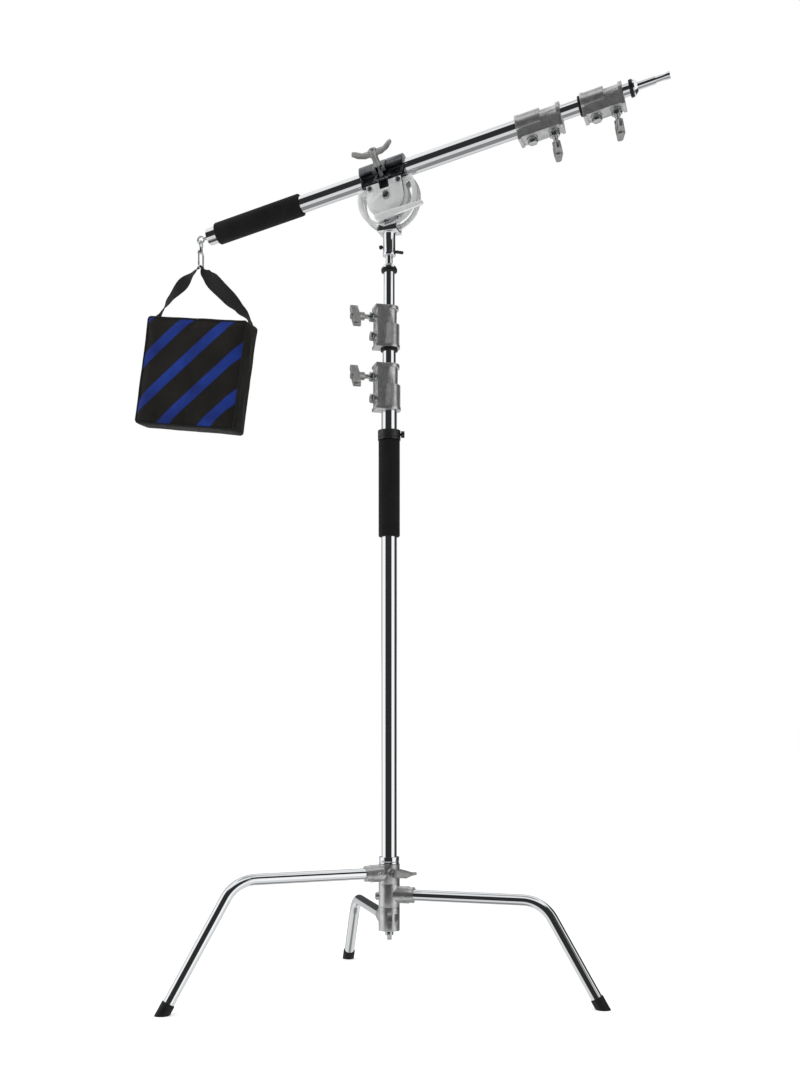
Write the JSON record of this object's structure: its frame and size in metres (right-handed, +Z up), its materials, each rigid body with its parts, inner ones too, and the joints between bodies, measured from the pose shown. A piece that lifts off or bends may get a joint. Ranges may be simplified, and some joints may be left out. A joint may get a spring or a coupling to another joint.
{
  "type": "boom stand",
  "caption": "Nesting-leg lighting stand with telescopic risers, a tilting clamp that holds a telescopic boom, and a sandbag hung from the boom's tail.",
  "frame": {"origin": "on the floor under the column's axis", "axes": "+Z up the column; +X to the side the boom's tip points to, with the boom turned 19 degrees towards -Y, the front"},
  "size_m": [1.2017, 0.66, 1.9704],
  "materials": {
    "chrome": "polished chrome plating",
    "cast": "satin silver-painted die casting",
    "knob_metal": "satin cast zinc",
    "bright_steel": "bright zinc-plated steel",
    "dark_cast": "dark bead-blasted casting",
    "black_rubber": "matt black rubber",
    "black_plastic": "matt black plastic",
    "bag_fabric": "black woven nylon with blue diagonal bands",
    "webbing": "black nylon webbing"
  },
  "bodies": {
    "base": {"bottom_leg_casting": "cast", "bottom_leg_tube": "chrome", "bottom_foot": "black_rubber", "base_bolt": "bright_steel", "column_ferrule": "chrome", "lower_column_tube": "chrome", "column_grip": "black_rubber", "storage_ring": "black_plastic", "lower_collar": "cast", "lower_collar_fasteners": "bright_steel"},
    "middle_leg": {"middle_leg_casting": "cast", "middle_leg_tube": "chrome", "middle_foot": "black_rubber"},
    "top_leg": {"top_leg_casting": "cast", "top_leg_tube": "chrome", "top_foot": "black_rubber"},
    "leg_lock": {"leg_lock_handle": "knob_metal"},
    "ring_knob": {"storage_ring_knob": "black_plastic"},
    "lower_knob": {"lower_collar_knob": "knob_metal"},
    "middle_riser": {"middle_riser_tube": "chrome", "middle_riser_bush": "black_plastic", "upper_collar": "cast", "upper_collar_fasteners": "bright_steel", "upper_collar_bumper": "black_rubber"},
    "upper_knob": {"upper_collar_knob": "knob_metal"},
    "top_riser": {"top_riser_tube": "chrome", "top_riser_bush": "black_plastic", "baby_pin": "chrome", "pin_washer": "black_rubber"},
    "head": {"receiver": "chrome"},
    "head_knob": {"receiver_knob": "black_plastic"},
    "head_lever": {"receiver_lever": "black_plastic"},
    "tilt_lever": {"tilt_lock_lever": "bright_steel"},
    "clamp": {"tilt_plates": "bright_steel", "cover_plates": "bright_steel", "plate_screws": "bright_steel", "pivot_bolt": "bright_steel", "clamp_lower_jaw": "dark_cast", "clamp_upper_jaw": "dark_cast", "clamp_hinge_pin": "bright_steel"},
    "swing_bolt": {"clamp_swing_bolt": "dark_cast"},
    "wing_nut": {"clamp_wing_nut": "dark_cast"},
    "boom": {"boom_main_tube": "chrome", "boom_grip": "black_rubber", "boom_tail_plug": "chrome", "boom_collar": "cast", "boom_collar_fasteners": "bright_steel"},
    "boom_knob": {"boom_collar_knob": "knob_metal"},
    "boom_middle": {"boom_middle_tube": "chrome", "boom_bumper": "black_rubber", "boom_tip_collar": "cast", "boom_tip_collar_fasteners": "bright_steel"},
    "boom_tip_knob": {"boom_tip_collar_knob": "knob_metal"},
    "boom_tip": {"boom_tip_tube": "chrome", "boom_spigot": "chrome", "spigot_washer": "black_rubber"},
    "hook": {"snap_hook": "bright_steel"},
    "gate": {"snap_gate": "bright_steel"},
    "bag": {"sandbag": "bag_fabric", "sandbag_strap": "webbing"}
  },
  "joints": [
    {"name": "middle_leg_fold", "type": "hinge", "parent": "base", "child": "middle_leg", "pos_m": [0, 0, 0.226], "axis": [0, 0, 1], "range_deg": [-10, 122]},
    {"name": "top_leg_fold", "type": "hinge", "parent": "base", "child": "top_leg", "pos_m": [0, 0, 0.274], "axis": [0, 0, 1], "range_deg": [-99, 10]},
    {"name": "leg_lock_turn", "type": "hinge", "parent": "top_leg", "child": "leg_lock", "pos_m": [0.01113, -0.04154, 0.276], "axis": [0.2588, -0.9659, 0], "range_deg": [0, 100]},
    {"name": "ring_knob_turn", "type": "hinge", "parent": "base", "child": "ring_knob", "pos_m": [0.0255, 0, 1.26], "axis": [1, 0, 0], "continuous": true},
    {"name": "lower_knob_turn", "type": "hinge", "parent": "base", "child": "lower_knob", "pos_m": [-0.05796, -0.01553, 1.387], "axis": [-0.9659, -0.2588, 0], "continuous": true},
    {"name": "middle_riser_slide", "type": "slide", "parent": "base", "child": "middle_riser", "axis": [0, 0, 1], "range_m": [-0.03, 0.78]},
    {"name": "upper_knob_turn", "type": "hinge", "parent": "middle_riser", "child": "upper_knob", "pos_m": [-0.05796, -0.01553, 1.521], "axis": [-0.9659, -0.2588, 0], "continuous": true},
    {"name": "top_riser_slide", "type": "slide", "parent": "middle_riser", "child": "top_riser", "axis": [0, 0, 1], "range_m": [-0.075, 0.78]},
    {"name": "head_pan", "type": "hinge", "parent": "top_riser", "child": "head", "pos_m": [0, 0, 1.69], "axis": [0, 0, 1], "continuous": true},
    {"name": "receiver_knob_turn", "type": "hinge", "parent": "head", "child": "head_knob", "pos_m": [-0.01891, 0.00651, 1.6835], "axis": [-0.9455, 0.3256, 0], "continuous": true},
    {"name": "receiver_lever_turn", "type": "hinge", "parent": "head", "child": "head_lever", "pos_m": [0.01891, -0.00651, 1.669], "axis": [0.9455, -0.3256, 0], "continuous": true},
    {"name": "boom_tilt", "type": "hinge", "parent": "head", "child": "clamp", "pos_m": [0, 0, 1.79], "axis": [-0.3256, -0.9455, 0], "range_deg": [-40, 45]},
    {"name": "tilt_lever_turn", "type": "hinge", "parent": "head", "child": "tilt_lever", "pos_m": [-0.01321, 0.00455, 1.73784], "axis": [-0.3256, -0.9455, 0], "range_deg": [-60, 30]},
    {"name": "swing_bolt_fold", "type": "hinge", "parent": "clamp", "child": "swing_bolt", "pos_m": [-0.01477, -0.0203, 1.82932], "axis": [0.9294, -0.32, 0.184], "range_deg": [0, 60]},
    {"name": "wing_nut_turn", "type": "hinge", "parent": "swing_bolt", "child": "wing_nut", "pos_m": [-0.03572, -0.06007, 1.86596], "axis": [-0.3612, -0.6858, 0.6318], "continuous": true},
    {"name": "boom_slide", "type": "slide", "parent": "clamp", "child": "boom", "axis": [0.9294, -0.32, 0.184], "range_m": [-0.23, 0.12]},
    {"name": "boom_knob_turn", "type": "hinge", "parent": "boom", "child": "boom_knob", "pos_m": [0.35944, -0.12376, 1.85707], "axis": [0.1739, -0.0599, -0.9829], "continuous": true},
    {"name": "boom_middle_slide", "type": "slide", "parent": "boom", "child": "boom_middle", "axis": [0.9294, -0.32, 0.184], "range_m": [-0.02, 0.6]},
    {"name": "boom_tip_knob_turn", "type": "hinge", "parent": "boom_middle", "child": "boom_tip_knob", "pos_m": [0.4849, -0.16697, 1.88191], "axis": [0.1739, -0.0599, -0.9829], "continuous": true},
    {"name": "boom_tip_slide", "type": "slide", "parent": "boom_middle", "child": "boom_tip", "axis": [0.9294, -0.32, 0.184], "range_m": [-0.012, 0.6]},
    {"name": "hook_hang", "type": "hinge", "parent": "boom", "child": "hook", "pos_m": [-0.44748, 0.15408, 1.7584], "axis": [-0.3256, -0.9455, 0], "range_deg": [-45, 40]},
    {"name": "gate_open", "type": "hinge", "parent": "hook", "child": "gate", "pos_m": [-0.45106, 0.14368, 1.7244], "axis": [0.9455, -0.3256, 0], "range_deg": [0, 35], "stiffness_Nm_per_rad": 0.02, "springref_deg": -17.19},
    {"name": "bag_swing", "type": "hinge", "parent": "hook", "child": "bag", "pos_m": [-0.44748, 0.15408, 1.6924], "axis": [-0.3256, -0.9455, 0], "range_deg": [-25, 15]}
  ],
  "couplings": [
    {"joint": "hook_hang", "follows": "boom_tilt", "ratio": -1}
  ]
}
